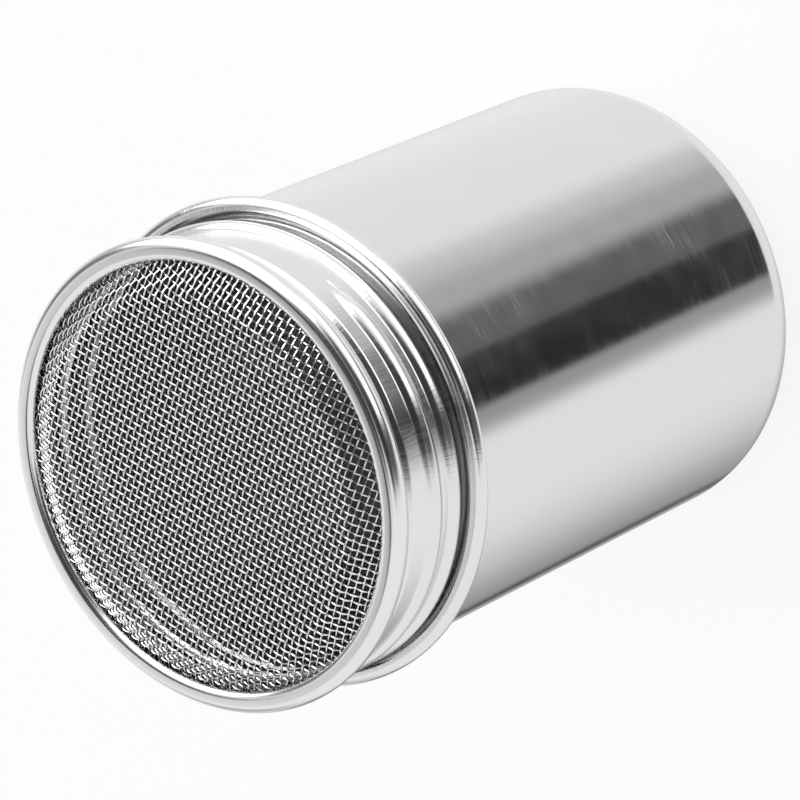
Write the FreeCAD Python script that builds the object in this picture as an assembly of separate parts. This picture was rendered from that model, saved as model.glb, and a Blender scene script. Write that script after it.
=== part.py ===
"""Hand-held flour sifter: a drawn steel can with a screw-on lid whose top is a pan of woven wire.

Upright, +Z along the can's axis, origin at the centre of the base's underside. Millimetres.
The lid is seated at rest and climbs its thread when it is turned.
"""
import FreeCAD, Part
import math
import os
from FreeCAD import Vector

# ---- driving dimensions -------------------------------------------------------------------
# can
can_radius = 32.6           # outside of the straight wall
can_height = 92.9           # up to the top of the rolled mouth
can_wall = 0.5
base_corner_radius = 7.2    # outside, between wall and base
base_panel_radius = 19.0    # raised panel that leaves a foot to stand on
base_panel_rise = 0.7
base_panel_bend = 1.0
neck_height = 13.5          # from where the wall starts to neck in, up to the mouth's top
neck_step = 1.45            # from the wall in to the neck
neck_bend = 0.8
mouth_hem_radius = 0.9      # outside radius of the inward roll
mouth_hem_turn = 250        # degrees that the roll turns through

# screw thread, shared by can and lid
thread_pitch = 4.4
thread_depth = 0.2          # from the neck's face in to the thread's centre line
thread_drop = 8.3           # from the mouth's top down to the centre line at turn angle zero
can_thread_start = -60.0    # turn angles in degrees, counted from the front (-Y)
can_thread_end = 335.0
lid_thread_start = -355.0   # it runs out under the hem, so the can's ridge can leave it
lid_thread_end = 393.0
can_ridge_radius = 0.95     # outside of the can's rolled ridge
can_ridge_wall = 0.45

# lid collar
collar_wall = 0.4
collar_bend = 0.45          # rounding of its groove and bulge
collar_neck_step = 0.4      # from the skirt's face in to the part under the rim ring
groove_rise = 1.15          # from the can's mouth up to the middle of the groove
groove_depth = 0.7
groove_half_height = 0.7
bulge_step = 0.5            # from the skirt's face out to the swelling that holds the rim ring
bulge_height = 0.95
bulge_slope_height = 0.7
flange_inset = 0.2          # the flange stops this much short of the rim ring's lip
hem_gap = 0.9               # from the can's shoulder up to the hem's underside
hem_overhang = 2.4          # from the can's wall out to the hem's rim
hem_roll_radius = 1.24      # outside radius of the roll
hem_lap = 1.75              # from the hem's rim in to its cut edge
hem_flare = 1.2             # rounding between skirt and hem

# rim ring
rim_rise = 4.7              # from the can's mouth up to the ring's widest point
rim_overhang = 1.7          # from the skirt's face out to the ring's rim
rim_width = 3.3             # from the rim in to the round opening over the mesh
rim_wall = 0.4
rim_shoulder_radius = 1.4
rim_lip_radius = 1.15       # rounding of the lip around the opening
rim_edge_drop = 2.55        # from the widest point down to the lower cut edge
rim_edge_step = 1.5         # from the rim in to that edge

# woven mesh
wire_diameter = 0.25
warp_pitch = 1.12
weft_pitch = 0.97
warp_direction = 39.6       # degrees from +X
weft_direction = 131.9
mesh_clamp_rise = 0.05      # mid-plane of the held edge, above the ring's widest point
mesh_rise = 2.25            # from the held edge up to the flat middle
mesh_lap = 1.0              # width held under the lip
mesh_foot_inset = 0.2       # from the opening in to the foot of the slope
mesh_slope_width = 3.7
mesh_bend_run = 0.6         # half the width over which the mesh bends, at the top and the foot

# clearances
thread_clearance = 0.25
ring_clearance = 0.15
seat_clearance = 0.02
weave_gap = 0.14            # between the two layers of wire
least_run = 0.4             # closer than this to a wire's middle, no further bend stop fixes it
longest_run = 1.6           # between two points of a wire's path on the slope
mitred = 1                  # the way a pipe turns the corners of its path
wire_margin = 0.3           # the outermost wire stays this far inside the foot of the slope

# ---- worked out from them -----------------------------------------------------------------
neck_radius = can_radius - neck_step
shoulder_z = can_height - neck_height
shoulder_top_z = shoulder_z + neck_step
mouth_hem_z = can_height - mouth_hem_radius
thread_radius = neck_radius - thread_depth
thread_z_at_front = can_height - thread_drop

collar_bore = neck_radius + thread_clearance
collar_radius = collar_bore + collar_wall
collar_neck_radius = collar_radius - collar_neck_step
collar_bulge_radius = collar_radius + bulge_step
groove_radius = collar_radius - groove_depth
groove_z = can_height + groove_rise
skirt_top_z = groove_z - groove_half_height
lid_ridge_radius = can_ridge_radius + thread_clearance + collar_wall
hem_bottom_z = shoulder_z + hem_gap
hem_middle_z = hem_bottom_z + hem_roll_radius
hem_outer_radius = can_radius + hem_overhang

rim_radius = collar_radius + rim_overhang
rim_z = can_height + rim_rise
rim_crest_z = rim_z + rim_shoulder_radius
opening_radius = rim_radius - rim_width

layer_offset = (wire_diameter + weave_gap) / 2
mesh_half_height = layer_offset + wire_diameter / 2
mesh_clamp_z = rim_z + mesh_clamp_rise
mesh_top_z = mesh_clamp_z + mesh_rise
mesh_edge_radius = opening_radius + mesh_lap
mesh_foot_radius = opening_radius - mesh_foot_inset
mesh_flat_radius = mesh_foot_radius - mesh_slope_width
collar_flange_z = mesh_clamp_z - mesh_half_height - seat_clearance
rim_lip_z = mesh_clamp_z + mesh_half_height + ring_clearance
axis_origin = Vector(0, 0, 0)
axis_up = Vector(0, 0, 1)


def at(radius, z):
    """A point of a section, in the half-plane that is turned about the axis."""
    return Vector(radius, 0, z)


def rounded_line(corners):
    """Edges through (radius, z, rounding) corners, with a tangent arc at each rounded one."""
    points = [at(r, z) for r, z, rounding in corners]
    edges = []
    start = points[0]
    for i in range(1, len(points) - 1):
        corner = points[i]
        rounding = corners[i][2]
        if rounding <= 0:
            edges.append(Part.makeLine(start, corner))
            start = corner
            continue
        back = (points[i - 1] - corner).normalize()
        ahead = (points[i + 1] - corner).normalize()
        half_angle = back.getAngle(ahead) / 2
        reach = rounding / math.tan(half_angle)
        middle = corner + (back + ahead).normalize() * (rounding / math.sin(half_angle) - rounding)
        arc_start = corner + back * reach
        arc_end = corner + ahead * reach
        if (arc_start - start).Length > 1e-6:
            edges.append(Part.makeLine(start, arc_start))
        edges.append(Part.Arc(arc_start, middle, arc_end).toShape())
        start = arc_end
    if (points[-1] - start).Length > 1e-6:
        edges.append(Part.makeLine(start, points[-1]))
    return edges


def arc(centre_r, centre_z, radius, start_deg, end_deg):
    """An arc of a section, from one angle to another (0 is outward, 90 is up)."""
    def point(deg):
        turn = math.radians(deg)
        return at(centre_r + radius * math.cos(turn), centre_z + radius * math.sin(turn))
    return Part.Arc(point(start_deg), point((start_deg + end_deg) / 2), point(end_deg)).toShape()


def sheet_section(edges, offset):
    """The section of a sheet: the line of one of its faces, thickened to the other by offset."""
    line = Part.Wire(edges)
    return line.makeOffset2D(offset, 0, True, True, False)


def turned(section):
    """The solid that a section sweeps when it is turned once about the axis."""
    solid = section.revolve(axis_origin, axis_up, 360)
    if solid.ShapeType != "Solid":
        solid = Part.makeSolid(solid.Shells[0])
    return solid


def on_helix(turn_deg):
    """A point of the thread's centre line; the angle counts from the front, anticlockwise."""
    turn = math.radians(turn_deg - 90)
    z = thread_z_at_front + thread_pitch * turn_deg / 360
    return Vector(thread_radius * math.cos(turn), thread_radius * math.sin(turn), z)


def thread_rod(start_deg, end_deg, radius):
    """A round rod along the thread's centre line, with rounded ends."""
    turns = (end_deg - start_deg) / 360
    path = Part.makeLongHelix(thread_pitch, thread_pitch * turns, thread_radius)
    path.rotate(axis_origin, axis_up, start_deg - 90)
    path.translate(Vector(0, 0, on_helix(start_deg).z))
    first = path.Edges[0]
    tangent = first.tangentAt(first.FirstParameter)
    circle = Part.Wire([Part.makeCircle(radius, on_helix(start_deg), tangent)])
    rod = Part.Wire(path.Edges).makePipeShell([circle], True, True)
    for end in (start_deg, end_deg):
        rod = rod.fuse(Part.makeSphere(radius, on_helix(end)))
    return rod


def only_solid(shape):
    """The one solid of a boolean result."""
    return max(shape.Solids, key=lambda solid: solid.Volume)


def can():
    """Drawn cup: base with a raised panel, round corner, necked mouth with an inward hem."""
    outside = rounded_line([
        (0, base_panel_rise, 0),
        (base_panel_radius - 2 * base_panel_rise, base_panel_rise, base_panel_bend),
        (base_panel_radius, 0, base_panel_bend),
        (can_radius, 0, base_corner_radius),
        (can_radius, shoulder_z, neck_bend),
        (neck_radius, shoulder_top_z, neck_bend),
        (neck_radius, mouth_hem_z, 0),
    ])
    outside.append(arc(neck_radius - mouth_hem_radius, mouth_hem_z, mouth_hem_radius, 0, mouth_hem_turn))
    cup = turned(sheet_section(outside, can_wall))
    cup = cup.fuse(thread_rod(can_thread_start, can_thread_end, can_ridge_radius))
    bore_start_z = shoulder_top_z + neck_bend
    bore_end_z = mouth_hem_z - mouth_hem_radius
    bore = Part.makeCylinder(neck_radius - can_wall, bore_end_z - bore_start_z, Vector(0, 0, bore_start_z))
    cup = cup.cut(bore)
    cup = cup.cut(thread_rod(can_thread_start, can_thread_end, can_ridge_radius - can_ridge_wall))
    return only_solid(cup)


def lid_collar():
    """Threaded skirt: rolled hem below, groove and bulge above, and a flange for the mesh."""
    roll_radius = hem_roll_radius - collar_wall
    roll_r = hem_outer_radius - hem_roll_radius
    bulge_low_z = collar_flange_z - bulge_height
    outside = [
        Part.makeLine(at(hem_outer_radius - hem_lap, hem_middle_z + roll_radius),
                      at(roll_r, hem_middle_z + roll_radius)),
        arc(roll_r, hem_middle_z, roll_radius, 90, -90),
    ]
    outside += rounded_line([
        (roll_r, hem_middle_z - roll_radius, 0),
        (collar_radius, hem_middle_z - roll_radius, hem_flare),
        (collar_radius, skirt_top_z, collar_bend),
        (groove_radius, groove_z, collar_bend),
        (collar_neck_radius, groove_z + groove_half_height, collar_bend),
        (collar_neck_radius, bulge_low_z - bulge_slope_height, collar_bend),
        (collar_bulge_radius, bulge_low_z, collar_bend),
        (collar_bulge_radius, collar_flange_z, collar_bend),
        (opening_radius + flange_inset, collar_flange_z, 0),
    ])
    skirt = turned(sheet_section(outside, collar_wall))
    rod = thread_rod(lid_thread_start, lid_thread_end, lid_ridge_radius)
    ridge = rod.cut(inside_of_skirt())
    skirt = skirt.fuse(ridge)
    skirt = skirt.cut(thread_rod(lid_thread_start, lid_thread_end, lid_ridge_radius - collar_wall))
    return only_solid(skirt)


def inside_of_skirt():
    """The space inside the skirt, which flares at the bottom into the hem."""
    margin = 2 * lid_ridge_radius
    bottom_z = hem_bottom_z - margin
    top_z = skirt_top_z - collar_bend
    walls = rounded_line([
        (0, bottom_z, 0),
        (collar_bore + margin, bottom_z, 0),
        (collar_bore + margin, hem_bottom_z, 0),
        (collar_bore, hem_bottom_z, hem_flare + collar_wall),
        (collar_bore, top_z, 0),
        (0, top_z, 0),
        (0, bottom_z, 0),
    ])
    return turned(Part.Face(Part.Wire(walls)))


def lid_rim_ring():
    """Hollow bead folded over the collar's top; its lip frames the mesh."""
    lip_r = opening_radius + rim_lip_radius
    lip_z = rim_crest_z - rim_lip_radius
    lip_deg = 180 - math.degrees(math.asin((rim_lip_z - lip_z) / (rim_lip_radius - rim_wall)))
    shoulder_r = rim_radius - rim_shoulder_radius
    under_radius = (rim_edge_step ** 2 + rim_edge_drop ** 2) / (2 * rim_edge_step)
    under_deg = -math.degrees(math.asin(rim_edge_drop / under_radius))
    outside = [
        arc(lip_r, lip_z, rim_lip_radius, lip_deg, 90),
        Part.makeLine(at(lip_r, rim_crest_z), at(shoulder_r, rim_crest_z)),
        arc(shoulder_r, rim_z, rim_shoulder_radius, 90, 0),
        arc(rim_radius - under_radius, rim_z, under_radius, 0, under_deg),
    ]
    return turned(sheet_section(outside, -rim_wall))


def ramp(run):
    """A straight climb that starts at zero, with a rounded start."""
    if run <= -mesh_bend_run:
        return 0
    if run >= mesh_bend_run:
        return run
    return (run + mesh_bend_run) ** 2 / (4 * mesh_bend_run)


def pan_height(radius):
    """Height of the mesh's mid-plane at a radius: flat, then a slope down to the held edge."""
    slope = mesh_rise / mesh_slope_width
    return mesh_top_z - slope * (ramp(radius - mesh_flat_radius) - ramp(radius - mesh_foot_radius))


def bend_stops():
    """Radii at which a wire's path is fixed as it crosses the two bends, from the held edge inwards."""
    stops = [mesh_edge_radius]
    for bend_radius in (mesh_foot_radius, mesh_flat_radius):
        for i in range(2, -3, -1):
            stops.append(bend_radius + i * mesh_bend_run / 2)
    return stops


def wire_points(offset):
    """Points (x, z) that fix a wire's path on the pan, from its end to its middle."""
    runs = [math.sqrt(stop ** 2 - offset ** 2) for stop in bend_stops() if stop > abs(offset)]
    runs = [run for run in runs if run > least_run] + [0]
    level_radius = mesh_flat_radius - mesh_bend_run
    stations = []
    for outer, inner in zip(runs, runs[1:]):
        steps = 1
        if math.hypot((outer + inner) / 2, offset) > level_radius:
            steps = math.ceil((outer - inner) / longest_run)
        stations += [outer + (inner - outer) * i / steps for i in range(steps)]
    stations.append(0)
    return [(x, pan_height(math.hypot(x, offset))) for x in stations]


def one_wire(offset, lift):
    """A round wire across the pan, offset sideways from the axis and lifted to its layer."""
    half = wire_points(offset)
    across = [(-x, z) for x, z in half] + [(x, z) for x, z in reversed(half[:-1])]
    path = Part.makePolygon([Vector(x, offset, z + lift) for x, z in across])
    first = path.OrderedEdges[0]
    end = first.FirstParameter
    circle = Part.makeCircle(wire_diameter / 2, first.valueAt(end), first.tangentAt(end))
    return path.makePipeShell([Part.Wire([circle])], True, False, mitred)


def wire_layer(pitch, direction, lift):
    """All the wires that run one way, as separate solids."""
    reach = mesh_foot_radius - wire_margin
    count = int(reach / pitch)
    wires = []
    for i in range(-count, count + 1):
        wire = one_wire(i * pitch, lift)
        wire.rotate(axis_origin, axis_up, direction)
        wires.append(wire)
    return Part.makeCompound(wires)


parts = {
    "can_body": can(),
    "lid_collar": lid_collar(),
    "lid_rim_ring": lid_rim_ring(),
    "mesh_warp_wires": wire_layer(warp_pitch, warp_direction, layer_offset),
    "mesh_weft_wires": wire_layer(weft_pitch, weft_direction, -layer_offset),
}

os.makedirs("parts", exist_ok=True)
for name, shape in parts.items():
    shape.exportStep(os.path.join("parts", name + ".step"))
    box = shape.optimalBoundingBox(True, False)
    print(name, "solids", len(shape.Solids), "valid", shape.isValid(), "volume", round(shape.Volume, 2),
          "z", round(box.ZMin, 3), round(box.ZMax, 3), "x", round(box.XMin, 3), round(box.XMax, 3))
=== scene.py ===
# %% [markdown]
# # A flour sifter, modelled and finished in Blender
#
# The object is a steel can, 10 cm tall, with a screw-on lid. The lid is a threaded skirt, and a
# hollow rim ring folded over its top holds a pan of woven wire that the flour is shaken through.
# The part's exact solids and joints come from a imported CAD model, which is loaded first and never
# changed. Blender adds what the solids leave out: the over-and-under weave, the soft run of the
# rolled thread, raw edges, brushing, scratches, and the light that makes bare metal readable.

import math

import bpy
import numpy as np
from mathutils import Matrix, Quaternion, Vector


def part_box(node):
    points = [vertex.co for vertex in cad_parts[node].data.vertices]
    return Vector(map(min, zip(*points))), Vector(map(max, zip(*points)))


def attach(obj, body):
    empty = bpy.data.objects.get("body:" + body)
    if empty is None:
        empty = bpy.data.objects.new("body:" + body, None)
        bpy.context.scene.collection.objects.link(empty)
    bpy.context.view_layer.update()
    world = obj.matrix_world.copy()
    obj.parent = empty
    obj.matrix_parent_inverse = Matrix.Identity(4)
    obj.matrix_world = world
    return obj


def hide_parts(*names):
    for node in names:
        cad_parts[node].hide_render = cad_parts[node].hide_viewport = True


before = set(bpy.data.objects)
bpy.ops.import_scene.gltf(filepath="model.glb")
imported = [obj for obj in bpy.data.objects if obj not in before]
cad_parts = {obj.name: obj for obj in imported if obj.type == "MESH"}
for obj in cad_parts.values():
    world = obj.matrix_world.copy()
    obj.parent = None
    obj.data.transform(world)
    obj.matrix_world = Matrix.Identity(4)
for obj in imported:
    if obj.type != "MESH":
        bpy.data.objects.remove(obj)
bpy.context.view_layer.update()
mm = 0.001
print("nodes:", sorted(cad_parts))

# %% [markdown]
# ## Sizes
#
# Every piece sits where the CAD puts it, so the main radii and heights are read from the boxes of
# the CAD nodes. What a box can't tell, such as a wall's thickness or the rounding of a bead, is a
# named size in millimetres, the same as in the part's source.

# %% Sizes from the CAD boxes


def radius_of(node):
    """The outer radius of a round CAD node, in mm."""
    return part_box(node)[1].x / mm


def low_of(node):
    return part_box(node)[0].z / mm


def high_of(node):
    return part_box(node)[1].z / mm


can_radius = radius_of("can_body")
can_height = high_of("can_body")
hem_radius = radius_of("lid_collar")
hem_bottom = low_of("lid_collar")
flange_top = high_of("lid_collar")
rim_radius = radius_of("lid_rim_ring")
rim_edge = low_of("lid_rim_ring")
rim_crest = high_of("lid_rim_ring")
print("can", can_radius, can_height, "hem", hem_radius, hem_bottom, "rim", rim_radius, rim_crest)

# %% Sizes that the boxes can't tell, in mm
can_wall = 0.5
neck_step = 1.45            # from the wall in to the neck
neck_height = 13.5          # from where the wall starts to neck in, up to the mouth's top
mouth_roll = 0.9
neck_radius = can_radius - neck_step
shoulder_low = can_height - neck_height
shoulder_high = shoulder_low + (can_radius - neck_radius)

thread_pitch = 4.4
thread_depth = 0.2          # from the neck's face in to the thread's centre line
thread_drop = 8.3           # from the mouth's top down to the centre line, at the front
thread_radius = neck_radius - thread_depth
thread_front = can_height - thread_drop
can_thread = (-60, 335, 0.95)       # start and end in degrees from the front, tube radius
lid_thread = (-355, 393, 1.6)

lid_wall = 0.4
bore_gap = 0.25             # from the neck out to the skirt
groove_rise = 1.15          # from the can's mouth up to the middle of the groove
rim_width = 3.3             # from the rim in to the opening over the mesh
skirt_radius = neck_radius + bore_gap + lid_wall
groove_height = can_height + groove_rise
opening_radius = rim_radius - rim_width
print("neck", round(neck_radius, 2), "skirt", round(skirt_radius, 2), "opening", round(opening_radius, 2))

# %% [markdown]
# ## Drawing a section
#
# Everything but the mesh is thin sheet turned about one axis. A turned piece could come from the
# Spin tool or a Screw modifier on a hand-drawn outline. Here the outline is written as corners
# with a rounding each, the way a drawing gives it, and is thickened to a sheet: the points of one
# face, then the same points moved sideways by the wall and taken back the other way.

# %% Corners, arcs and sheets


def arc(centre_r, centre_z, radius, start, end, step=5):
    """Points of a circle from one angle to another, in degrees; 0 points outwards and 90 up."""
    count = max(2, int(abs(end - start) / step) + 1)
    turn = np.radians(np.linspace(start, end, count))
    return np.stack([centre_r + radius * np.cos(turn), centre_z + radius * np.sin(turn)], 1)


def rounded(corners, spacing=2.0):
    """Points along a line through (radius, height, rounding) corners."""
    points = np.array([c[:2] for c in corners], float)
    runs = [points[:1]]
    for i in range(1, len(points) - 1):
        back = points[i - 1] - points[i]
        ahead = points[i + 1] - points[i]
        back /= np.linalg.norm(back)
        ahead /= np.linalg.norm(ahead)
        half = math.acos(np.clip(back @ ahead, -1, 1)) / 2
        rounding = corners[i][2]
        middle = (back + ahead) / np.linalg.norm(back + ahead)
        centre = points[i] + middle * rounding / math.sin(half)
        first = math.degrees(math.atan2(*(points[i] + back * rounding / math.tan(half) - centre)[::-1]))
        last = math.degrees(math.atan2(*(points[i] + ahead * rounding / math.tan(half) - centre)[::-1]))
        sweep = (last - first + 180) % 360 - 180
        runs.append(arc(*centre, rounding, first, first + sweep))
    runs.append(points[-1:])
    line = [runs[0][-1:]]
    for run in runs[1:]:
        gap = np.linalg.norm(run[0] - line[-1][-1])
        count = int(gap / spacing)
        if count > 0:
            share = np.linspace(0, 1, count + 2)[1:-1, None]
            line.append(line[-1][-1] * (1 - share) + run[0] * share)
        line.append(run)
    return np.vstack(line)


def to_the_left(face, distance):
    """The line moved sideways, to the left of its own direction."""
    along = np.gradient(face, axis=0)
    along /= np.linalg.norm(along, axis=1, keepdims=True)
    return face + distance * np.stack([-along[:, 1], along[:, 0]], 1)


print("a quarter bend of 1 mm has", len(arc(0, 0, 1, 0, 90)), "points")

# %% [markdown]
# ## Turning a section into a mesh
#
# `turned` lays the section's points out as rows and the angles as columns, and joins neighbours
# with four-sided faces. Even faces shade a polished surface without streaks. The radius may
# change from column to column, which is how the thread gets onto the skirt. Angles count from
# the front, -Y, towards +X.

# %% Build meshes from arrays


def add_mesh(name, vertices, faces, body, slot, *nodes):
    """A smooth mesh in metres that rides on a CAD body and stands for CAD nodes."""
    mesh = bpy.data.meshes.new(name)
    mesh.from_pydata((vertices * mm).tolist(), [], faces.tolist())
    mesh.shade_smooth()
    mesh.set_sharp_from_angle(angle=math.radians(40))
    piece = bpy.data.objects.new(name, mesh)
    bpy.context.scene.collection.objects.link(piece)
    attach(piece, body)
    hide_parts(*nodes)
    print(name, len(mesh.vertices), "vertices,", len(mesh.polygons), "faces")
    return piece


def turned(radii, heights, angles):
    """Vertices and faces of a closed section turned about Z; rows are points, columns angles."""
    turn = np.radians(angles)[None, :]
    vertices = np.stack([radii * np.sin(turn), -radii * np.cos(turn), heights + 0 * turn], 2)
    rows, columns = radii.shape
    row = np.arange(rows)[:, None]
    column = np.arange(columns)[None, :]
    next_row = (row + 1) % rows
    next_column = (column + 1) % columns
    corners = [row * columns + column, row * columns + next_column,
               next_row * columns + next_column, next_row * columns + column]
    faces = np.stack([c.ravel() for c in np.broadcast_arrays(*corners)], 1)
    return vertices.reshape(-1, 3), faces


def angles_round(count):
    """That many angles, evenly round the axis."""
    return np.linspace(-180, 180, count, endpoint=False)


# %% [markdown]
# ## The screw thread
#
# A thread in thin sheet is rolled: a round ridge outside, the matching groove inside. It could be
# a separate tube along a helix joined by a Boolean, but a Boolean leaves a hard crease and messy
# faces. Pushing the turned wall out to the surface of that tube, with a soft blend at its foot,
# keeps one clean grid, and the ends fade out as real rolled threads do.

# %% Push a wall out along a helix
thread_fade = 14.0     # degrees over which the ridge sinks back into the wall at its ends
thread_foot = 0.5      # mm over which its foot blends into the wall


def soft_max(a, b, width):
    """The larger of two values, rounded off where they are close."""
    near = np.clip(width - np.abs(a - b), 0, None) / width
    return np.maximum(a, b) + near ** 2 * width / 4


def with_thread(radii, heights, angles, thread, inset=0.0):
    """Radii of a wall after a thread (start, end, tube radius) has pushed it out."""
    start, end, tube = thread
    for lap in (-1, 0, 1):
        turn = angles[None, :] + 360 * lap
        to_end = np.clip(np.minimum(turn - start, end - turn) / thread_fade, 0, 1)
        size = (tube - inset) * (0.4 + 0.6 * np.sin(to_end * math.pi / 2))
        drop = heights - (thread_front + thread_pitch * turn / 360)
        tube_face = thread_radius + np.sqrt(np.clip(size ** 2 - drop ** 2, 0, None))
        tube_face = np.where((np.abs(drop) < size) & (to_end > 0), tube_face, -10.0)
        radii = soft_max(radii, tube_face, thread_foot)
    return radii


# %% [markdown]
# ## The can
#
# The can is drawn from one disc of steel: a flat base with a raised panel that leaves a ring to
# stand on, a wide bottom corner, a straight wall, a neck for the lid and a mouth rolled inwards.
# Its profile is turned once. The neck's own thread is hidden under the lid but is there when the
# lid comes off.

# %% Turn the can
panel_radius, panel_rise, panel_bend = 19.0, 0.7, 1.0
section_start = 0.3         # the section starts this far from the axis
base_corner = 7.2
neck_bend = 0.8
can_outside = np.vstack([
    rounded([
        (section_start, panel_rise, 0),
        (panel_radius - 2 * panel_rise, panel_rise, panel_bend),
        (panel_radius, 0, panel_bend),
        (can_radius, 0, base_corner),
        (can_radius, shoulder_low, neck_bend),
        (neck_radius, shoulder_high, neck_bend),
        (neck_radius, can_height - mouth_roll, 0),
    ], 0.6),
    arc(neck_radius - mouth_roll, can_height - mouth_roll, mouth_roll, 0, 250, 12)[1:],
])
can_inside = to_the_left(can_outside, can_wall)
can_angles = angles_round(360)


def can_wall_face(line, inset):
    """A face of the can with the thread pushed out of its neck."""
    radii = np.repeat(line[:, :1], len(can_angles), 1)
    heights = line[:, 1:]
    threaded = with_thread(radii, heights, can_angles, can_thread, inset)
    on_neck = (heights > shoulder_high) & (heights < can_height - 2 * mouth_roll)
    on_neck = on_neck & (line[:, :1] > neck_radius - can_wall - 0.1)
    return np.where(on_neck, threaded, radii)


can_radii = np.vstack([can_wall_face(can_outside, 0), can_wall_face(can_inside, can_wall)[::-1]])
can_heights = np.concatenate([can_outside[:, 1], can_inside[::-1, 1]])[:, None]
can_shell = add_mesh(
    "can_shell", *turned(can_radii, can_heights, can_angles), "can", "can_steel", "can_body")

# %% [markdown]
# ## The lid's skirt
#
# The skirt is a sheet ring. Its lower edge is rolled outwards into a hollow hem, so that it is
# stiff and has no sharp edge to cut a hand; two turns of thread run round it; above them a groove
# and a bulge lock it into the rim ring; and a flange at the top carries the mesh.

# %% Turn the skirt
hem_roll = 1.24
hem_lap = 1.75              # from the hem's rim in to its cut edge
hem_flare = 1.2
bend = 0.45                 # rounding of the groove and the bulge
groove_depth = half_groove = 0.7
collar_step = 0.4           # from the skirt's face in to the part under the rim ring
bulge_step, bulge_height, bulge_slope = 0.5, 0.95, 0.7
flange_inset = 0.2
hollow = hem_roll - lid_wall
hem_middle = hem_bottom + hem_roll
hem_centre = hem_radius - hem_roll
hem_edge = hem_radius - hem_lap
bulge_low = flange_top - bulge_height
skirt_face = np.vstack([
    [[hem_edge, hem_middle + hollow]],
    arc(hem_centre, hem_middle, hollow, 90, -90, 9),
    rounded([
        (hem_centre, hem_bottom + lid_wall, 0),
        (skirt_radius, hem_bottom + lid_wall, hem_flare),
        (skirt_radius, groove_height - half_groove, bend),
        (skirt_radius - groove_depth, groove_height, bend),
        (skirt_radius - collar_step, groove_height + half_groove, bend),
        (skirt_radius - collar_step, bulge_low - bulge_slope, bend),
        (skirt_radius + bulge_step, bulge_low, bend),
        (skirt_radius + bulge_step, flange_top, bend),
        (opening_radius + flange_inset, flange_top, 0),
    ], 0.1)[1:],
])
skirt_back = to_the_left(skirt_face, lid_wall)
lid_angles = angles_round(540)


def skirt_wall_face(line, inset):
    """A face of the skirt with the thread pushed out between the hem and the groove."""
    radii = np.repeat(line[:, :1], len(lid_angles), 1)
    heights = line[:, 1:]
    threaded = with_thread(radii, heights, lid_angles, lid_thread, inset)
    on_skirt = (heights > hem_bottom) & (heights < groove_height - 0.6)
    on_skirt = on_skirt & (line[:, :1] < skirt_radius + 1)
    return np.where(on_skirt, threaded, radii)


skirt_radii = np.vstack([
    skirt_wall_face(skirt_face, 0),
    skirt_wall_face(skirt_back, lid_wall)[::-1],
])
skirt_heights = np.concatenate([skirt_face[:, 1], skirt_back[::-1, 1]])[:, None]
lid_skirt = add_mesh(
    "lid_skirt", *turned(skirt_radii, skirt_heights, lid_angles), "lid", "lid_steel", "lid_collar")

# %% [markdown]
# ## The rim ring
#
# A second, narrower sheet ring is folded over the skirt's bulge and pinches the edge of the mesh.
# Seen from above it is a full round bead, and below its widest point it ends in a raw cut edge.

# %% Turn the rim ring
lip_round = 1.15
crest_round = 1.4
edge_drop = rim_crest - crest_round - rim_edge
edge_step = 1.5
under_round = (edge_step ** 2 + edge_drop ** 2) / (2 * edge_step)
under_end = -math.degrees(math.asin(edge_drop / under_round))
rim_face = np.vstack([
    arc(rim_radius - under_round, rim_crest - crest_round, under_round, under_end, 0, 4),
    arc(rim_radius - crest_round, rim_crest - crest_round, crest_round, 0, 90, 3)[1:],
    arc(opening_radius + lip_round, rim_crest - lip_round, lip_round, 90, 159, 3),
])
rim_back = to_the_left(rim_face, lid_wall)
rim_section = np.vstack([rim_face, rim_back[::-1]])
rim_radii = np.repeat(rim_section[:, :1], len(lid_angles), 1)
lid_rim = add_mesh(
    "lid_rim", *turned(rim_radii, rim_section[:, 1:], lid_angles), "rim", "rim_steel", "lid_rim_ring")

# %% [markdown]
# ## The woven mesh
#
# Flour passes between wires of about a quarter millimetre, woven over and under each other and
# then pressed into a shallow pan with a flat top. A picture of a mesh on a plane would look flat
# from close by, so each wire is a real tube. Its path follows the pan, and a cosine lifts it over
# one crossing wire and takes it under the next; the count of crossings comes from the other
# family's direction and pitch, so the two families always pass each other on opposite sides.

# %% The pan that the wires follow
wire_radius = 0.125
pan_rise, pan_width = 2.25, 3.7     # height of the slope, and its width in plan
pan_bend = 0.6              # half the width over which the mesh bends
foot_inset = 0.2            # from the opening in to the foot of the slope
held_width = 1.0            # width held under the rim ring's lip
flange_gap = 0.02           # from the flange up to the lower wires
half_cloth = 0.32           # half the thickness of the two layers of wires
outermost = 1.3             # the last wire lies this far inside the cloth's edge
pan_slope = pan_rise / pan_width
pan_foot = opening_radius - foot_inset
pan_flat = pan_foot - pan_width
pan_top = flange_top + flange_gap + half_cloth + pan_rise
mesh_edge = opening_radius + held_width


def climb(run):
    """A straight climb that starts at zero, with a rounded start."""
    rounded_start = (run + pan_bend) ** 2 / (4 * pan_bend)
    return np.where(np.abs(run) < pan_bend, rounded_start, np.clip(run, 0, None))


def pan_height(radius):
    """Height of the middle of the mesh at a distance from the axis."""
    return pan_top - pan_slope * (climb(radius - pan_flat) - climb(radius - pan_foot))


radius_steps = np.linspace(0, mesh_edge, 1200)
drop_steps = np.gradient(pan_height(radius_steps), radius_steps)
run_steps = np.hypot(np.diff(radius_steps), np.diff(pan_height(radius_steps)))
cloth_steps = np.concatenate([[0], np.cumsum(run_steps)])
proud = float(pan_height(0.0) - pan_height(mesh_edge))
print("the pan stands", round(proud, 2), "mm proud of its edge")
print("cloth from middle to edge", round(cloth_steps[-1], 2), "mm, plan", mesh_edge)

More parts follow.
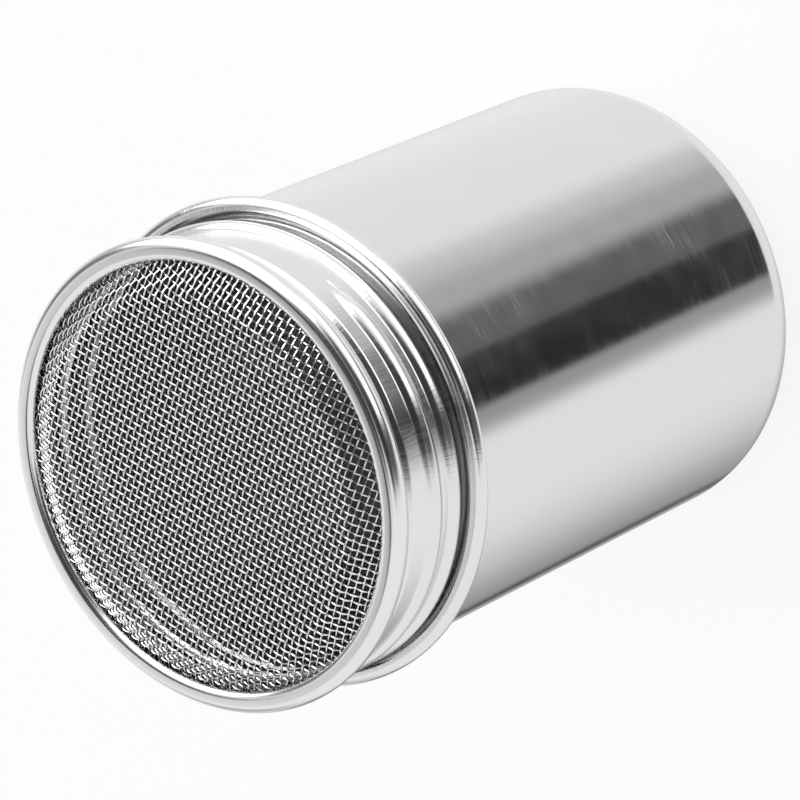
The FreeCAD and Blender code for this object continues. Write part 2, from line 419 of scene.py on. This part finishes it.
# %% [markdown]
# The cloth is woven flat and pressed afterwards, so the wires are laid out on the flat cloth, at
# even spacing, and the pressing moves each point in towards the axis and down. That keeps the
# cells the same size on the slope as on the top, and gives each wire its kink where the slope
# starts.

# %% Lay the wires out on the flat cloth
warp = {"direction": 39.6, "pitch": 1.12, "side": 1}
weft = {"direction": 131.9, "pitch": 0.97, "side": -1}
samples_per_crossing = 6
tube_sides = 6
wander_long, wander_short = 0.035, 0.02     # mm, how far a wire may lie off its even place


def along_and_across(family):
    """Unit vectors along a family's wires and across them."""
    turn = math.radians(family["direction"])
    along = np.array([math.cos(turn), math.sin(turn)])
    return along, np.array([-along[1], along[0]])


def pressed(flat):
    """Where points of the flat cloth go on the pan, and the pan's normals there."""
    from_axis = np.linalg.norm(flat, axis=1)
    radius = np.interp(from_axis, cloth_steps, radius_steps)
    outward = flat / np.maximum(from_axis, 1e-6)[:, None]
    places = np.column_stack([outward * radius[:, None], pan_height(radius)])
    drop = np.interp(radius, radius_steps, drop_steps)
    normals = np.column_stack([-drop[:, None] * outward, np.ones(len(flat))])
    return places, normals / np.linalg.norm(normals, axis=1, keepdims=True)


def one_wire(index, family, other):
    """Centre line of one wire in mm, and the pan's normals along it."""
    along, across = along_and_across(family)
    wander = wander_long * math.sin(index * 2.4) + wander_short * math.sin(index * 5.1)
    offset = index * family["pitch"] + wander
    reach = math.sqrt(cloth_steps[-1] ** 2 - offset ** 2)
    count = int(2 * reach / other["pitch"] * samples_per_crossing)
    flat = np.linspace(-reach, reach, count)[:, None] * along + offset * across
    crossing = flat @ along_and_across(other)[1] / other["pitch"]
    lift = family["side"] * wire_radius * np.cos(math.pi * (crossing + index))
    places, normals = pressed(flat)
    return places + lift[:, None] * normals, normals


# %% Turn each line into a wire and weave the two families


def tube(line, normals, radius):
    """A tube round a line; the normals keep it from twisting."""
    along = np.gradient(line, axis=0)
    along /= np.linalg.norm(along, axis=1, keepdims=True)
    level = np.cross(normals, along)
    level /= np.linalg.norm(level, axis=1, keepdims=True)
    up = np.cross(along, level)
    turn = np.linspace(0, 2 * math.pi, tube_sides, endpoint=False)
    sideways = np.cos(turn)[None, :, None] * level[:, None, :]
    upwards = np.sin(turn)[None, :, None] * up[:, None, :]
    ring = sideways + upwards
    vertices = (line[:, None, :] + radius * ring).reshape(-1, 3)
    row = np.arange(len(line) - 1)[:, None] * tube_sides
    side = np.arange(tube_sides)[None, :]
    after = (side + 1) % tube_sides
    corners = [row + side, row + side + tube_sides, row + after + tube_sides, row + after]
    return vertices, np.stack([c.ravel() for c in np.broadcast_arrays(*corners)], 1)[:, ::-1]


def weave(name, family, other, node):
    """All the wires of one family as one mesh."""
    count = int((cloth_steps[-1] - outermost) / family["pitch"])
    vertices, faces, used = [], [], 0
    for index in range(-count, count + 1):
        line, normals = one_wire(index, family, other)
        wire, quads = tube(line, normals, wire_radius)
        vertices.append(wire)
        faces.append(quads + used)
        used += len(wire)
    return add_mesh(name, np.vstack(vertices), np.vstack(faces), "lid", "wire_steel", node)


sieve_warp = weave("sieve_warp", warp, weft, "mesh_warp_wires")
sieve_weft = weave("sieve_weft", weft, warp, "mesh_weft_wires")

# %% [markdown]
# ## Building blocks for the finishes
#
# All the metal is the same steel, but each piece has been worked in its own way, so its marks run
# in different directions. Noise textures stretched one way make such marks. The stretched
# coordinates are needed several times, so they are a node group: it turns the position on the
# piece into distance round the axis, height and radius, each with its own density of marks.

# %% Helpers for node trees


def new_group(name, inputs, outputs):
    """A shader node group with number or vector inputs, {name: default}, and typed outputs."""
    group = bpy.data.node_groups.new(name, "ShaderNodeTree")
    for label, default in inputs.items():
        kind = "NodeSocketVector" if isinstance(default, tuple) else "NodeSocketFloat"
        socket = group.interface.new_socket(name=label, in_out="INPUT", socket_type=kind)
        socket.default_value = default
    for label, kind in outputs.items():
        group.interface.new_socket(name=label, in_out="OUTPUT", socket_type=kind)
    return group, group.nodes.new("NodeGroupInput"), group.nodes.new("NodeGroupOutput")


def feed(tree, socket, value):
    """Connects a socket to another one, or sets its value."""
    if isinstance(value, bpy.types.NodeSocket):
        tree.links.new(value, socket)
    else:
        socket.default_value = value


def math_node(tree, operation, *values):
    """One Math node; its inputs are sockets or numbers."""
    node = tree.nodes.new("ShaderNodeMath")
    node.operation = operation
    for socket, value in zip(node.inputs, values):
        feed(tree, socket, value)
    return node.outputs[0]


def remap(tree, value, low, high, to_low, to_high, smooth=True):
    """Takes a value from one range to another, held at the ends."""
    node = tree.nodes.new("ShaderNodeMapRange")
    node.interpolation_type = "SMOOTHSTEP" if smooth else "LINEAR"
    for socket, number in zip(node.inputs, (value, low, high, to_low, to_high)):
        feed(tree, socket, number)
    return node.outputs[0]


def noise(tree, vector, scale, detail=2.0, rough=0.5):
    """A noise texture's value, about 0 to 1."""
    node = tree.nodes.new("ShaderNodeTexNoise")
    feed(tree, node.inputs["Vector"], vector)
    node.inputs["Scale"].default_value = scale
    node.inputs["Detail"].default_value = detail
    node.inputs["Roughness"].default_value = rough
    return node.outputs["Fac"]


# %% Group: coordinates round the axis
round_axis, group_in, group_out = new_group(
    "round_axis",
    {"Round per mm": 1.0, "Up per mm": 1.0, "Out per mm": 1.0},
    {"Vector": "NodeSocketVector"},
)
position = round_axis.nodes.new("ShaderNodeTexCoord").outputs["Object"]
split = round_axis.nodes.new("ShaderNodeSeparateXYZ")
feed(round_axis, split.inputs[0], position)
x, y, z = split.outputs
x_squared = math_node(round_axis, "MULTIPLY", x, x)
y_squared = math_node(round_axis, "MULTIPLY", y, y)
from_axis = math_node(round_axis, "SQRT", math_node(round_axis, "ADD", x_squared, y_squared))
sideways = math_node(round_axis, "DIVIDE", x, from_axis)
frontways = math_node(round_axis, "DIVIDE", y, from_axis)
join = round_axis.nodes.new("ShaderNodeCombineXYZ")
round_scale = math_node(round_axis, "MULTIPLY", group_in.outputs["Round per mm"], can_radius)
feed(round_axis, join.inputs[0], math_node(round_axis, "MULTIPLY", sideways, round_scale))
feed(round_axis, join.inputs[1], math_node(round_axis, "MULTIPLY", frontways, round_scale))
z_mm = math_node(round_axis, "DIVIDE", z, mm)
from_axis_mm = math_node(round_axis, "DIVIDE", from_axis, mm)
up_part = math_node(round_axis, "MULTIPLY", z_mm, group_in.outputs["Up per mm"])
out_part = math_node(round_axis, "MULTIPLY", from_axis_mm, group_in.outputs["Out per mm"])
feed(round_axis, join.inputs[2], math_node(round_axis, "ADD", up_part, out_part))
feed(round_axis, group_out.inputs[0], join.outputs[0])

# %% [markdown]
# Brushing and scratches are two uses of the same idea. Brushing left by spinning the can against
# a cloth runs round it, so its noise changes quickly with height and slowly round the axis. The
# press tools drag along the lid's wall and leave short upright scratches, so theirs changes
# quickly round the axis and slowly with height.

# %% Group: fine marks
marks, group_in, group_out = new_group(
    "fine_marks",
    {"Round per mm": 0.1, "Up per mm": 6.0, "Out per mm": 6.0, "Gaps": 0.5},
    {"Marks": "NodeSocketFloat", "Patches": "NodeSocketFloat"},
)
stretched = marks.nodes.new("ShaderNodeGroup")
stretched.node_tree = round_axis
for label in ("Round per mm", "Up per mm", "Out per mm"):
    feed(marks, stretched.inputs[label], group_in.outputs[label])
even = marks.nodes.new("ShaderNodeGroup")
even.node_tree = round_axis
patches_per_mm = 0.16
for label in ("Round per mm", "Up per mm", "Out per mm"):
    even.inputs[label].default_value = patches_per_mm
lines = noise(marks, stretched.outputs[0], 1.0, 4.0, 0.7)
patches = noise(marks, even.outputs[0], 1.0, 3.0, 0.6)
shown = remap(marks, patches, group_in.outputs["Gaps"], 0.75, 0.35, 1.0)
even_lines = remap(marks, lines, 0.3, 0.7, -1, 1, False)
feed(marks, group_out.inputs["Marks"], math_node(marks, "MULTIPLY", even_lines, shown))
feed(marks, group_out.inputs["Patches"], patches)

# %% Group: metal grain, a speckle too fine to make out one by one
grain, group_in, group_out = new_group("metal_grain", {"Per mm": 4.0}, {"Grain": "NodeSocketFloat"})
position = grain.nodes.new("ShaderNodeTexCoord").outputs["Object"]
scaled = grain.nodes.new("ShaderNodeVectorMath")
scaled.operation = "SCALE"
feed(grain, scaled.inputs[0], position)
feed(grain, scaled.inputs["Scale"], math_node(grain, "DIVIDE", group_in.outputs["Per mm"], mm))
speckle = noise(grain, scaled.outputs[0], 1.0, 3.0, 0.6)
feed(grain, group_out.inputs[0], remap(grain, speckle, 0.25, 0.75, -1, 1, False))

# %% [markdown]
# ## Steel
#
# One function makes each steel from the same three things: marks along one direction, soft
# patches where the surface is a little duller, and a fine grain. They change the roughness and
# the height of the surface, and through it how reflections break up. The metal's colour is nearly
# neutral and only its patches differ a little.

# %% Make a steel
patch_shade = 0.94      # how much darker the metal is in its patches


def group_node(tree, group, **values):
    """Places a node group with its own input values; an underscore stands for a space."""
    node = tree.nodes.new("ShaderNodeGroup")
    node.node_tree = group
    for label, value in values.items():
        feed(tree, node.inputs[label.replace("_", " ")], value)
    return node


def steel(name, tint, roughness, spread, marks_height, grain_height, direction):
    """A bare steel whose marks run as direction says, (round, up, out) per mm."""
    material = bpy.data.materials.new(name)
    material.use_nodes = True
    tree = material.node_tree
    shader = tree.nodes["Principled BSDF"]
    round_way, up_way, out_way = direction
    lines = group_node(tree, marks, Round_per_mm=round_way, Up_per_mm=up_way, Out_per_mm=out_way)
    speckle = group_node(tree, grain)
    colour = tree.nodes.new("ShaderNodeMix")
    colour.data_type = "RGBA"
    feed(tree, colour.inputs["Factor"], lines.outputs["Patches"])
    colour.inputs["A"].default_value = (*[c * patch_shade for c in tint], 1)
    colour.inputs["B"].default_value = (*tint, 1)
    feed(tree, shader.inputs["Base Color"], colour.outputs["Result"])
    shader.inputs["Metallic"].default_value = 1.0
    wobble = math_node(tree, "MULTIPLY", lines.outputs["Marks"], spread)
    patchy = math_node(tree, "SUBTRACT", lines.outputs["Patches"], 0.5)
    dull = math_node(tree, "MULTIPLY", patchy, spread * 1.5)
    change = math_node(tree, "ADD", wobble, dull)
    rough = math_node(tree, "MAXIMUM", math_node(tree, "ADD", change, roughness), 0.03)
    feed(tree, shader.inputs["Roughness"], rough)
    marks_part = math_node(tree, "MULTIPLY", lines.outputs["Marks"], marks_height * mm)
    grain_part = math_node(tree, "MULTIPLY", speckle.outputs["Grain"], grain_height * mm)
    height = math_node(tree, "ADD", marks_part, grain_part)
    bump = tree.nodes.new("ShaderNodeBump")
    bump.inputs["Distance"].default_value = 1.0
    feed(tree, bump.inputs["Height"], height)
    feed(tree, shader.inputs["Normal"], bump.outputs["Normal"])
    print(name, "roughness", roughness, "marks", marks_height, "mm")
    return material


# %% [markdown]
# Only the outside of a can is polished. The back of the sheet, seen through the mesh and when the
# lid comes off, is duller, and its darker tint is painted shade for the inside of the can, so it
# gets a finish of its own. It could be a second object just inside the first. A second material
# slot on the same mesh leaves the wall in one piece: the back's faces come after the front's in the
# turned grid, so they can be picked by their number.

# %% Pick the faces of a sheet's back
roll_from = skirt_radius + 0.2      # outside this radius, between these heights, is the hem's roll
roll_low, roll_high = hem_bottom - 0.1, hem_bottom + 2.6
inside_top = flange_top - 0.1


def paint_inside(piece, columns, face_rows, within):
    """Gives a sheet's back the second finish, duller and with painted shade, except where the hem's roll
    shows it.
    """
    count = len(piece.data.polygons)
    middles = np.zeros(count * 3)
    piece.data.polygons.foreach_get("center", middles)
    middles = middles.reshape(-1, 3) / mm
    radius = np.hypot(middles[:, 0], middles[:, 1])
    height = middles[:, 2]
    on_back = np.arange(count) // columns >= face_rows
    on_roll = (radius > roll_from) & (height > roll_low) & (height < roll_high)
    inside = on_back & (radius < within) & (height < inside_top) & ~on_roll
    piece.data.polygons.foreach_set("material_index", inside.astype(np.int32))
    print(piece.name, "has", int(inside.sum()), "inside faces")


# %% Five steels, each worked its own way
can_steel = steel(
    "can_steel", (0.74, 0.74, 0.74), roughness=0.12, spread=0.06,
    marks_height=0.0009, grain_height=0.00012, direction=(0.06, 2.6, 2.6))
skirt_steel = steel(
    "lid_steel", (0.78, 0.78, 0.78), roughness=0.17, spread=0.10,
    marks_height=0.0080, grain_height=0.0006, direction=(2.8, 0.12, 0.12))
rim_steel = steel(
    "rim_steel", (0.80, 0.80, 0.80), roughness=0.19, spread=0.05,
    marks_height=0.0006, grain_height=0.0003, direction=(3.0, 0.3, 0.3))
wire_steel = steel(
    "wire_steel", (0.86, 0.86, 0.86), roughness=0.22, spread=0.05,
    marks_height=0.0005, grain_height=0.0005, direction=(3.0, 3.0, 3.0))
# The inside steel is duller, and its darker tint is painted shade for the inside of the can.
inside_steel_painted_shade = steel(
    "inside_steel_painted_shade", (0.60, 0.60, 0.60), roughness=0.42, spread=0.06,
    marks_height=0.0010, grain_height=0.0008, direction=(0.3, 2.0, 2.0))

# %% Finish the pieces
finishes_of = (
    (can_shell, (can_steel, inside_steel_painted_shade)),
    (lid_skirt, (skirt_steel, inside_steel_painted_shade)),
    (lid_rim, (rim_steel,)),
    (sieve_warp, (wire_steel,)),
    (sieve_weft, (wire_steel,)),
)
for piece, finishes in finishes_of:
    for finish in finishes:
        piece.data.materials.append(finish)
paint_inside(can_shell, len(can_angles), len(can_outside), can_radius)
paint_inside(lid_skirt, len(lid_angles), len(skirt_face), skirt_radius + 1.5)

# %% [markdown]
# ## Light for bare metal
#
# Bare metal shows its surroundings more than itself, so the studio is what makes it look like
# metal: a pale tent all round, a dark gap where the camera stands, and softboxes. Lamps and cards
# could be built as objects. Painting the tent into the world is smoother and has no noise: a
# straight card is a soft-edged patch at a compass direction and a height above or below the
# horizon. Near the top of the sky such patches would bunch up, so there a card is round, a
# soft-edged disc about a direction.

# %% Group: a straight card of the tent
card, group_in, group_out = new_group(
    "tent_card",
    {"Direction": 0.0, "Height": 0.0, "Centre direction": 0.0, "Centre height": 0.0,
     "Half width": 10.0, "Half height": 10.0, "Side blur": 4.0, "End blur": 4.0},
    {"Mask": "NodeSocketFloat"},
)


def card_side(place, centre, half, blur):
    """1 inside half of the centre, falling to 0 over the blur."""
    away = math_node(card, "ABSOLUTE", math_node(
        card, "SUBTRACT", group_in.outputs[place], group_in.outputs[centre]))
    over = math_node(card, "SUBTRACT", away, group_in.outputs[half])
    return remap(card, math_node(card, "DIVIDE", over, group_in.outputs[blur]), -0.5, 0.5, 1, 0)


feed(card, group_out.inputs[0], math_node(
    card, "MULTIPLY",
    card_side("Direction", "Centre direction", "Half width", "Side blur"),
    card_side("Height", "Centre height", "Half height", "End blur")))

# %% Group: a round card of the tent
round_card, group_in, group_out = new_group(
    "tent_round_card",
    {"Looking": (0.0, 0.0, 1.0), "Centre": (0.0, 0.0, 1.0), "Radius": 20.0, "Blur": 10.0},
    {"Mask": "NodeSocketFloat"},
)
towards = round_card.nodes.new("ShaderNodeVectorMath")
towards.operation = "DOT_PRODUCT"
feed(round_card, towards.inputs[0], group_in.outputs["Looking"])
feed(round_card, towards.inputs[1], group_in.outputs["Centre"])
turn = math_node(round_card, "ARCCOSINE", towards.outputs["Value"])
away = math_node(round_card, "MULTIPLY", turn, 180 / math.pi)
past = math_node(round_card, "SUBTRACT", away, group_in.outputs["Radius"])
over = math_node(round_card, "DIVIDE", past, group_in.outputs["Blur"])
feed(round_card, group_out.inputs[0], remap(round_card, over, -0.5, 0.5, 1, 0))

# %% [markdown]
# The cards are what the steel shows. A straight wall mirrors one narrow ring of the tent, so five
# low, narrow "body" cards draw all the bands along the can. The rounded rim and the thread mirror
# nearly the whole sky, and take their dark lines from the gaps and their white ones from the
# softboxes. Later cards lie over earlier ones.

# %% The tent
world = bpy.data.worlds.new("tent")
bpy.context.scene.world = world
world.use_nodes = True
tree = world.node_tree
tree.nodes.clear()
looking = tree.nodes.new("ShaderNodeTexCoord").outputs["Generated"]
split = tree.nodes.new("ShaderNodeSeparateXYZ")
feed(tree, split.inputs[0], looking)
x, y, z = split.outputs
towards_front = math_node(tree, "MULTIPLY", y, -1)
direction = math_node(tree, "MULTIPLY", math_node(tree, "ARCTAN2", x, towards_front), 180 / math.pi)
height = math_node(tree, "MULTIPLY", math_node(tree, "ARCSINE", z), 180 / math.pi)

# %% The cards
tent_light = 1.25
# Each round card: direction, height, radius, blur, brightness; angles in degrees.
round_cards = {
    "right grey": (126, -4, 14, 16, 0.62),
    "grey behind": (146, 22, 18, 14, 0.25),
    "grey far left": (-151, 6, 13, 16, 0.55),
    "far shade": (-148, -50, 22, 50, 0.42),
    "gap in front": (-9, 32, 27, 10, 0.035),
    "gap front right": (19, 39, 19, 10, 0.08),
    "gap overhead": (30, 80, 22, 10, 0.045),
    "gap behind": (172, 64, 17, 5, 0.07),
    "big softbox": (86, 22, 37, 8, 5.0),
}
# Each straight card: direction, height, half width, half height, side blur, end blur, brightness.
cards = {
    "gap left": (-21, -18, 13, 30, 10, 10, 0.10),
    "softbox": (22, -21, 27, 20, 6, 6, 2.2),
    "body pale": (26, -51, 31, 6, 18, 2, 0.86),
    "body grey": (20, -51, 23, 6, 14, 2, 0.62),
    "body mid": (6, -51, 18, 6, 12, 2, 0.16),
    "body edge": (-26, -51, 10, 6, 14, 2, 0.50),
    "body dark": (-11, -51, 13, 6, 4, 2, 0.028),
    "far dark": (-154, -44, 5, 10, 8, 8, 0.12),
    "far wedge": (-136, -22, 6, 16, 10, 12, 0.35),
}


def add_card(light, mask, label, brightness):
    """Lays a card over the light so far."""
    mask.label = label
    mix = tree.nodes.new("ShaderNodeMix")
    mix.data_type = "FLOAT"
    feed(tree, mix.inputs["Factor"], mask.outputs[0])
    feed(tree, mix.inputs["A"], light)
    mix.inputs["B"].default_value = brightness
    return mix.outputs["Result"]


light = tent_light
for label, (where, high, radius, blur, brightness) in round_cards.items():
    turn, lift = math.radians(where), math.radians(high)
    centre = (math.cos(lift) * math.sin(turn), -math.cos(lift) * math.cos(turn), math.sin(lift))
    mask = group_node(tree, round_card, Looking=looking, Centre=centre, Radius=radius, Blur=blur)
    light = add_card(light, mask, label, brightness)
for label, (where, high, wide, tall, side_blur, end_blur, brightness) in cards.items():
    mask = group_node(tree, card, Direction=direction, Height=height, Centre_direction=where,
                      Centre_height=high, Half_width=wide, Half_height=tall,
                      Side_blur=side_blur, End_blur=end_blur)
    light = add_card(light, mask, label, brightness)

# %% [markdown]
# Only reflections look at the cards. The camera itself sees a plain pale backdrop, and dull
# surfaces get an even light, so the cards can be as strong and as narrow as the metal needs
# without showing anywhere else.

# %% Keep the cards to reflections
rays = tree.nodes.new("ShaderNodeLightPath")
backdrop = 1.0
seen = tree.nodes.new("ShaderNodeMix")
seen.data_type = "FLOAT"
feed(tree, seen.inputs["Factor"], rays.outputs["Is Glossy Ray"])
seen.inputs["A"].default_value = backdrop
feed(tree, seen.inputs["B"], light)
background = tree.nodes.new("ShaderNodeBackground")
feed(tree, background.inputs["Strength"], seen.outputs["Result"])
output = tree.nodes.new("ShaderNodeOutputWorld")
feed(tree, output.inputs["Surface"], background.outputs[0])
print("tent with", len(round_cards) + len(cards), "cards")

# %% [markdown]
# ## Floor
#
# The sifter stands on a plain white sheet. The sheet glows a little, so that the can's shadow on
# it stays faint, and it is left out of reflections, because the tent already holds its light.

# %% Floor
floor_half = 3.0
floor_mesh = bpy.data.meshes.new("floor")
corner_signs = ((-1, -1), (1, -1), (1, 1), (-1, 1))
floor_corners = [(x * floor_half, y * floor_half, 0) for x, y in corner_signs]
floor_mesh.from_pydata(floor_corners, [], [(0, 1, 2, 3)])
floor = bpy.data.objects.new("floor", floor_mesh)
bpy.context.scene.collection.objects.link(floor)
floor.visible_glossy = False
floor_white = bpy.data.materials.new("floor_white")
floor_white.use_nodes = True
shader = floor_white.node_tree.nodes["Principled BSDF"]
shader.inputs["Base Color"].default_value = (0.30, 0.30, 0.30, 1)
shader.inputs["Roughness"].default_value = 0.9
shader.inputs["Specular IOR Level"].default_value = 0.0
shader.inputs["Emission Color"].default_value = (1, 1, 1, 1)
shader.inputs["Emission Strength"].default_value = 0.74
floor.data.materials.append(floor_white)

# %% [markdown]
# ## Camera
#
# A long lens from well above, turned on its side, so that the can lies across the picture with
# its lid towards the viewer. The camera is aimed at a point on the axis from a direction, a
# distance and a roll, which reads better than a matrix.

# %% Camera
aim = Vector((-0.00127, 0, 0.05555))
azimuth, elevation, distance, roll = 0.16, 48.24, 0.68365, -114.29
sideways = math.radians(azimuth)
upwards = math.radians(elevation)
back = Vector((
    math.sin(sideways) * math.cos(upwards),
    -math.cos(sideways) * math.cos(upwards),
    math.sin(upwards),
))
camera_data = bpy.data.cameras.new("camera")
camera_data.lens = 217.74
camera_data.sensor_width = 36
camera = bpy.data.objects.new("camera", camera_data)
camera.location = aim + distance * back
camera.rotation_mode = "QUATERNION"
camera.rotation_quaternion = back.to_track_quat("Z", "Y") @ Quaternion((0, 0, 1), math.radians(roll))
bpy.context.scene.collection.objects.link(camera)
bpy.context.scene.camera = camera
bpy.context.scene.view_settings.view_transform = "Standard"
print("camera", [round(c, 4) for c in camera.location])
